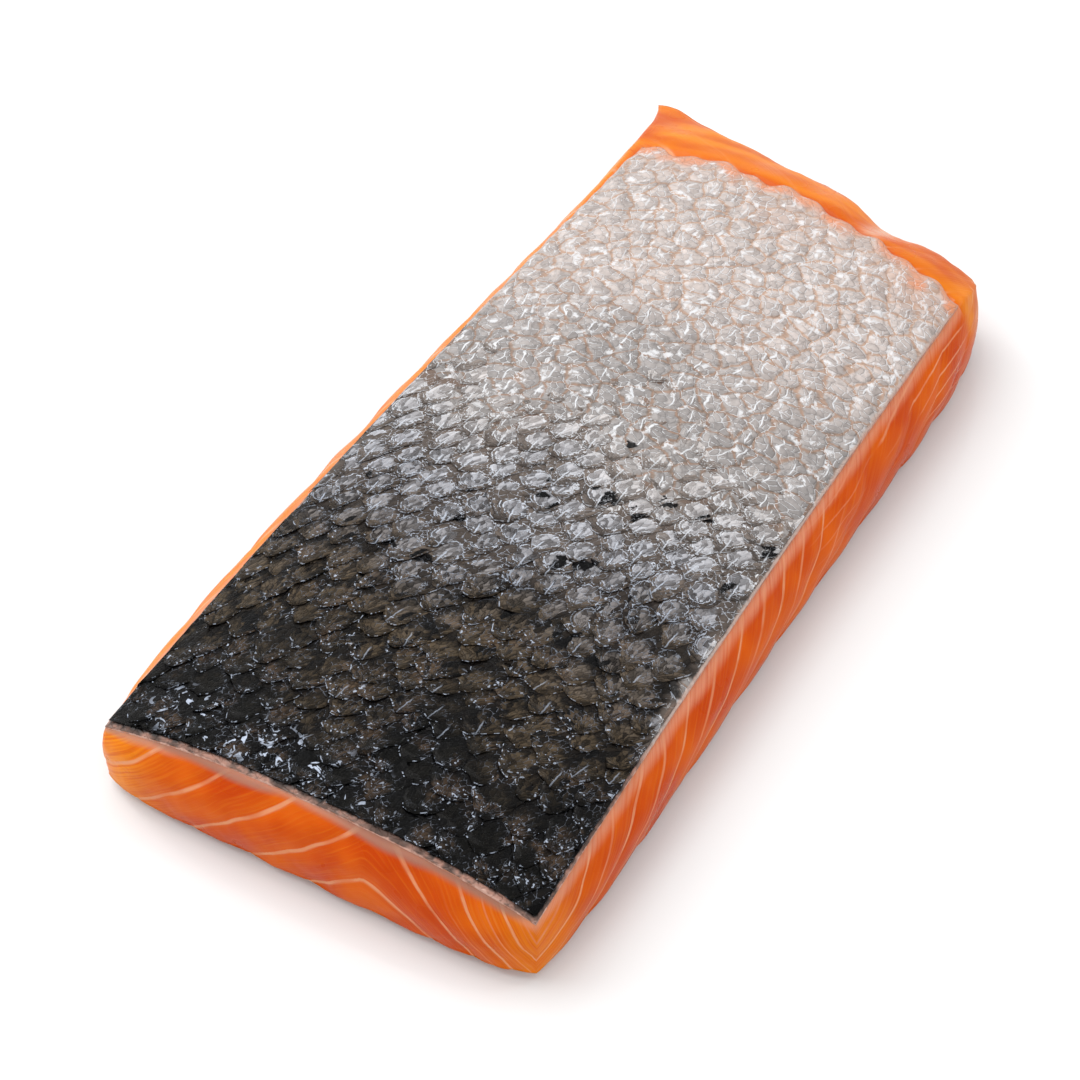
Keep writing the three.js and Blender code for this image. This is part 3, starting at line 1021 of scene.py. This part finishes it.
def held_in(x, y):
    """u and v of places on the crown, eased back inside the skin's border, and how far each then is from
    the torn end of the skin."""
    u, v = crown_uv(x, y)
    half_width, half_length = CROWN_HALF["across"], CROWN_HALF["along"]
    right_limit = 1 - KEEP_IN["side"] / half_width
    left_limit = skin_left(np.clip(v, -1, 1)) + KEEP_IN["side"] / half_width
    torn = KEEP_IN["torn"] * waves(flat_place(x, y), 5, 59) ** 2
    belly_limit = skin_end(np.clip(u, -1, 1)) - (KEEP_IN["belly"] + torn) / half_length
    u = softly_below(u * half_width, right_limit * half_width) / half_width
    u = -softly_below(-u * half_width, -left_limit * half_width) / half_width
    v = softly_below(v * half_length, belly_limit * half_length) / half_length
    v = -softly_below(-v * half_length, half_length - KEEP_IN["back"]) / half_length
    return u, v, (belly_limit - v) * half_length


def plate_lift(x, y, dx, dy, disc_y, lot, marks, to_belly):
    """Height of a plate over the crown, and how far each place is from its crease: it climbs from root to
    tip, and adds a roof along the crease, a tilt, and a crumple of folded waves, all calmer in silver."""
    silver, membrane = marks["silver"], marks["membrane"]
    calm = 1 - CALM["loss"] * ease(silver, *CALM["silver"])
    tip = PLATE["tip"] * calm * (0.7 + 0.6 * lot[..., 2]) * (1 - 0.5 * membrane)
    climb = lerp(PLATE["root"], tip, (1 - disc_y) / 2)
    climb = climb - PLATE["down_at_belly"] * (1 - ease(to_belly, 0, 6))
    off_crease = dx - CREASE["aside"] * (lot[..., 3] - 0.5) - CREASE["lean"] * (lot[..., 4] - 0.5) * dy
    roof = PLATE["roof"] * (0.3 + lot[..., 5]) * (1 - np.abs(off_crease) / SCALE["half_width"])
    tilt = TILT[0] * (lot[..., 6] - 0.5) * dx + TILT[1] * (lot[..., 7] - 0.5) * dy
    place = np.stack([x, y, CRUMPLE["apart"] * lot[..., 0] + 0 * x], -1)
    crumple = CRUMPLE["fold"] * (np.abs(waves(place, 3.2, 54)) - 0.5)
    crumple = crumple + CRUMPLE["fine"] * waves(place, 1.5, 55)
    lift = SKIN_TOP - PLATE["below_top"] + climb + (roof + tilt + crumple) * calm * (1 - 0.4 * membrane)
    return lift, off_crease


# %% All the plates at once
PLATE_EDGE = {"drop": 0.12, "inside": -0.4}


def scale_plates(material):
    """Every plate with a skirt below its border and a back, as one mesh, and the fields of its finish."""
    a, b, lots = shown_scales()
    lot = lots[:, None, :]
    disc_x, disc_y, plate_quads, rim = plate_grid()
    dx, dy = plate_outline(disc_x, disc_y, lot)
    u, v, to_belly = held_in(*lattice_place(a[:, None] + dx, b[:, None] + dy))
    px, py = plan_point(np.clip(u, -1, 1), v)
    x, y = px + CENTRE[0], py + CENTRE[1]
    fields = skin_marks(x, y)
    lift, off_crease = plate_lift(x, y, dx, dy, disc_y, lot, fields, to_belly)
    crown = top_height(np.clip(u, -1, 1), np.clip(v, -1, 1))
    points = np.stack([x, y, crown + lift], -1)
    fields.update({
        "fading": 1 - ease(to_belly + 1.5 * lot[..., 3], 0, 7),
        "inside": (1 - np.hypot(disc_x, disc_y)) * SCALE["half_width"],
        "gap": gap_below(dx, dy), "off_crease": off_crease, "along": dy,
        "tone": 2 * lot[..., 4] - 1, "lot": lot[..., 1], "second_lot": lot[..., 6],
    })

    count, size = dx.shape
    edge = points[:, rim] - [0, 0, PLATE_EDGE["drop"]]
    fields = {key: np.broadcast_to(field, dx.shape) for key, field in fields.items()}
    fields = {key: np.concatenate([field, field[:, rim]], 1) for key, field in fields.items()}
    # The skirt's inside is set below zero, so that the finish paints it with the shade below a scale's edge.
    fields["inside"][:, size:] = PLATE_EDGE["inside"]
    first = (np.arange(count) * (size + len(rim)))[:, None, None]
    lower = size + np.arange(len(rim))
    skirt = np.stack([rim, lower, np.roll(lower, -1), np.roll(rim, -1)], -1)
    quads = (np.concatenate([plate_quads, skirt])[None] + first).reshape(-1, 4)
    backs = lower[None, ::-1] + first[:, 0]
    print(count, "scales of", len(plate_quads) + len(skirt) + 1, "faces")
    points = np.concatenate([points, edge], 1).reshape(-1, 3)
    fields = {key: field.ravel() for key, field in fields.items()}
    return mesh_piece("salmon_scales", points, [quads, backs], material, fields)


# %% [markdown]
# ## Scale finish
#
# A wet scale shines in crumpled facets, like foil. A silver one has a pale body, a tan line at its free
# edge and a painted white highlight along its crease. A dark one has an olive body, painted black shade in
# the gap below the next scale's edge, and small painted bluish glints along its own. One material does
# both, and goes from one to the other by the silver field. Its thin lines come from distances stored at the
# points, so they stay crisp.

# %% Scale material
def scale_finish():
    """A body by the silver field, a fan of facets from the root, painted shade in the gap below the next
    scale, and painted glints.
    """
    r = Recipe("wet_scales")
    silver, membrane, inside, gap = (r.field(n) for n in ("silver", "membrane", "inside", "gap"))
    lot, second_lot, off_crease, along = (r.field(n) for n in ("lot", "second_lot", "off_crease", "along"))

    # Noises, and facets in a fan: cells by the angle and the reach from the root, other ones on each scale.
    wrinkle = r.noise(950.0, 2.0, 0.65)
    patches = r.noise(190.0, 2.0, 0.5)
    grain = r.noise(1500.0, 1.0)
    off_mean = r.math("SUBTRACT", wrinkle, 0.5)
    from_root = r.plus(along, 4.4, off_mean)
    beside = r.plus(off_crease, r.times(off_mean, 1.2))
    turn = r.times(r.math("ARCTAN2", beside, from_root), 5.4)
    reach = r.times(r.vector("LENGTH", r.pair(beside, from_root), output="Value"), 0.75)
    fan = r.pair(r.plus(turn, r.times(lot, 90.0)), r.plus(reach, r.times(second_lot, 70.0)))
    facet = r.span(r.cells(1.0, "Color", fan), 0.15, 0.85)
    fold = r.cells(1.0, "Distance", fan)
    rays = r.noise(1.0, 1.0, place=r.pair(r.times(turn, 3.6), r.times(lot, 50.0)))

    # The body from near black through taupe to silver, and a patch of foil in its middle.
    dark = r.mix(r.span(silver, 0.03, 0.15), DARK_BODY, DARK_OLIVE)
    dark = r.mix(r.times(r.span(patches, 0.5, 0.66), 0.5), dark, DARK_BROWN)
    plain = r.mix(r.span(silver, 0.1, 0.5), dark, TAUPE_BODY)
    plain = r.mix(r.span(silver, 0.45, 0.95), plain, SILVER_WARM)
    off_middle = r.pair(r.times(beside, 0.4), r.times(r.plus(along, 0.5), 0.42))
    middle = r.vector("LENGTH", off_middle, output="Value")
    outline = r.plus(middle, r.times(off_mean, 0.7), r.swing(facet, 0.3))
    patch = r.times(r.falling(outline, 0.84, 0.96), r.span(silver, 0.12, 0.6),
                    r.span(facet, 0.0, 1.0, 0.55, 1.0))
    colour = r.mix(patch, plain, r.mix(r.span(silver, 0.4, 0.75), FOIL_BLUE, SILVER_BODY))

    # How light each facet, ray and whole scale is, with painted shade along the folds between facets.
    contrast = r.plus(r.span(silver, 0.3, 0.7, 1.1, 0.5), r.span(silver, 0.1, 0.3, 0.5, 0.0))
    tone = r.plus(r.math("SUBTRACT", r.times(facet, 0.9), 0.45), r.swing(rays, 0.5), r.times(off_mean, 0.5))
    light = r.plus(1.0, r.times(tone, contrast))
    light = r.times(light, r.span(fold, 0.0, 0.12, r.span(silver, 0.2, 0.6, 0.35, 0.85), 1.0))
    light = r.plus(light, r.times(r.field("tone"), r.span(silver, 0.3, 0.9, 0.22, 0.06)))
    colour = r.shaded(colour, light)
    colour = r.mix(r.times(membrane, 0.5), colour, MEMBRANE_PINK)
    colour = r.mix(r.times(r.field("fading"), r.span(wrinkle, 0.4, 0.6, 0.3, 0.7)), colour, MEMBRANE_PINK)

    # Painted shade in the gap below the next scale's edge and on each plate's own edge and skirt: wide and
    # black on dark scales; on silver ones a thin tan line, partly the scale's own colour.
    tan = r.mix(r.span(silver, 0.2, 0.5), BLACK_GAP, TAUPE_BODY)
    tan = r.mix(r.span(silver, 0.5, 0.8), tan, TAN_LINE)
    uneven = r.plus(gap, r.times(off_mean, r.span(silver, 0.1, 0.7, 3.4, 0.6)))
    shade_under_edge = r.falling(uneven, 0.05, r.span(silver, 0.1, 0.7, 2.0, 0.3))
    shade_under_edge = r.most(shade_under_edge, r.falling(inside, -0.1, 0.08))
    colour = r.mix(r.times(shade_under_edge, r.span(membrane, 0.0, 1.0, 0.85, 0.45)), colour, tan)

    # Painted highlights on folds, round the foil, along the crease, on the rim and in dots, and a painted
    # wet gleam near the back end.
    lit = r.span(patches, r.span(silver, 0.2, 0.4, 0.44, 0.3), 0.54)
    broken = r.span(wrinkle, r.span(silver, 0.2, 0.4, 0.44, 0.38), 0.55)
    fold_glint = r.times(r.falling(fold, 0.01, 0.05), broken, lit, r.span(silver, 0.1, 0.5, 0.35, 1.0))
    brim_glint = r.times(r.span(outline, 0.84, 0.88), r.falling(outline, 0.93, 0.97), r.span(rays, 0.32, 0.44),
                   r.span(silver, 0.15, 0.4))
    bend = r.math("ABSOLUTE", r.plus(off_crease, r.times(off_mean, 0.5)))
    creased = r.math("GREATER_THAN", lot, r.span(silver, 0.1, 0.5, 0.93, 0.3))
    crease_glint = r.times(r.falling(bend, 0.06, 0.19), creased, r.span(gap, 0.5, 1.1),
                     r.falling(along, -1.5, -0.4), r.span(silver, 0.1, 0.4, 0.5, 1.0))
    rim = r.times(r.span(inside, 0.02, 0.08), r.falling(inside, 0.12, 0.26),
                  r.span(wrinkle, r.span(silver, 0.1, 0.5, 0.55, 0.46), 0.6))
    glint_dots = r.times(r.span(grain, 0.655, 0.675), r.span(gap, 0.0, 0.3), r.falling(inside, 1.0, 2.2), lit)
    painted_glints = r.most(fold_glint, crease_glint, rim, glint_dots, brim_glint)
    wet_gleam = r.times(r.field("wet_gleam"), r.span(r.noise(300.0, 2.0, 0.6, warp=1.5), 0.62, 0.64))
    shine = r.mix(r.span(silver, 0.2, 0.7), GLINT_BLUE, PAINTED_HIGHLIGHT_WHITE)
    amount = r.times(painted_glints, r.span(silver, 0.0, 0.6, 0.8, 0.9), r.span(membrane, 0.0, 1.0, 1.0, 0.5))
    colour = r.mix(r.most(amount, wet_gleam), colour, shine)
    spots = r.plus(r.field("spots"), r.times(off_mean, 0.9))
    colour = r.mix(r.times(r.span(spots, 0.42, 0.6), r.span(painted_glints, 0.6, 0.9, 1.0, 0.6)), colour, BLACK_GAP)

    height = r.plus(wrinkle, r.times(grain, 0.12), r.span(fold, 0.0, 0.25, 0.0, 0.5))
    rough = r.span(patches, 0.35, 0.65, 0.2, 0.36)
    return r.finish(
        Base_Color=colour, Roughness=rough, Normal=r.bump(height, 0.0004, 0.7), Specular_IOR_Level=0.05,
        Coat_Weight=0.055, Coat_Roughness=0.06)


# %% Make the scales
scales = scale_plates(scale_finish())

# %% [markdown]
# ## Floor, light and camera
#
# The floor is plain and near white, so that the fillet's own colours tell. A bright even studio could
# light it alone, but then it would have no shadow. Here one large soft lamp stands high on the left, so
# that the shadow falls to the right, and four small lamps give the wet skin sharp points to mirror.

# %% Floor
FLOOR = {"half": 1500, "height": -0.02, "cells": 12, "grey": 0.66}


def floor_finish():
    """A dull pale grey."""
    r = Recipe("pale_floor")
    colour = (FLOOR["grey"], FLOOR["grey"], FLOOR["grey"], 1)
    return r.finish(Base_Color=colour, Roughness=0.9, Specular_IOR_Level=0.1)


def make_floor():
    """A level grid, a hair below the fillet's resting spots."""
    lines = np.linspace(-FLOOR["half"], FLOOR["half"], FLOOR["cells"] + 1)
    x, y = np.meshgrid(lines, lines, indexing="ij")
    points = np.stack([x, y, np.full_like(x, FLOOR["height"])], -1).reshape(-1, 3)
    return mesh_piece("floor", points, [grid_quads(np.arange(x.size).reshape(x.shape))], floor_finish())


floor = make_floor()

# %% Light
# Lamps and the camera are placed in metres, and a lamp's power is in watts.
LAMP_TARGET = (0, 0, 0.01)
KEY = {"place": (-0.75, -0.1, 1.1), "size": 1.1, "power": 12.0}
GLINT = {"size": 0.05, "power": 0.6, "tint": (0.95, 0.98, 1.0)}
GLINT_PLACES = {"glint_far": (-0.42, 0.95, 0.8), "glint_top": (-0.15, -0.05, 1.2),
                "glint_left": (-0.9, 0.15, 0.75), "glint_right": (0.45, 0.35, 1.0)}
STUDIO_LIGHT = 1.25


def aimed(name, data, place, target):
    """An object at a place, its -Z axis towards the target."""
    item = bpy.data.objects.new(name, data)
    item.location = place
    heading = np.array(target) - np.array(place)
    level = math.hypot(heading[0], heading[1])
    item.rotation_euler = (math.atan2(level, -heading[2]), 0, math.atan2(-heading[0], heading[1]))
    bpy.context.scene.collection.objects.link(item)
    return item


def soft_lamp(name, place, size, power, tint=(1, 1, 1)):
    """A square lamp aimed at the middle of the fillet."""
    data = bpy.data.lights.new(name, "AREA")
    data.shape, data.size, data.size_y = "RECTANGLE", size, size
    data.energy, data.color = power, tint
    print("lamp", name, "of", power, "W")
    return aimed(name, data, place, LAMP_TARGET)


soft_lamp("key", **KEY)
for name, place in GLINT_PLACES.items():
    soft_lamp(name, place, **GLINT)

world = bpy.data.worlds.new("studio")
world.use_nodes = True
background = world.node_tree.nodes["Background"]
background.inputs["Color"].default_value = (1, 1, 1, 1)
background.inputs["Strength"].default_value = STUDIO_LIGHT
bpy.context.scene.world = world
bpy.context.scene.view_settings.view_transform = "Standard"

# %% Camera
VIEW = {"azimuth": 31.63, "elevation": 49.24, "distance": 0.5277, "angle": 22.0,
        "target": (-0.00641, -0.01078, 0.0)}
turn, rise = math.radians(VIEW["azimuth"]), math.radians(VIEW["elevation"])
back = np.array([math.sin(turn) * math.cos(rise), -math.cos(turn) * math.cos(rise), math.sin(rise)])
lens = bpy.data.cameras.new("view")
lens.sensor_fit, lens.lens_unit, lens.angle = "HORIZONTAL", "FOV", math.radians(VIEW["angle"])
place = np.array(VIEW["target"]) + VIEW["distance"] * back
bpy.context.scene.camera = aimed("view", lens, place, VIEW["target"])
print("camera at", place.round(4))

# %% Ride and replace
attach(flesh, "root")
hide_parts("flesh")
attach(skin, "root")
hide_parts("skin")
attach(scales, "root")
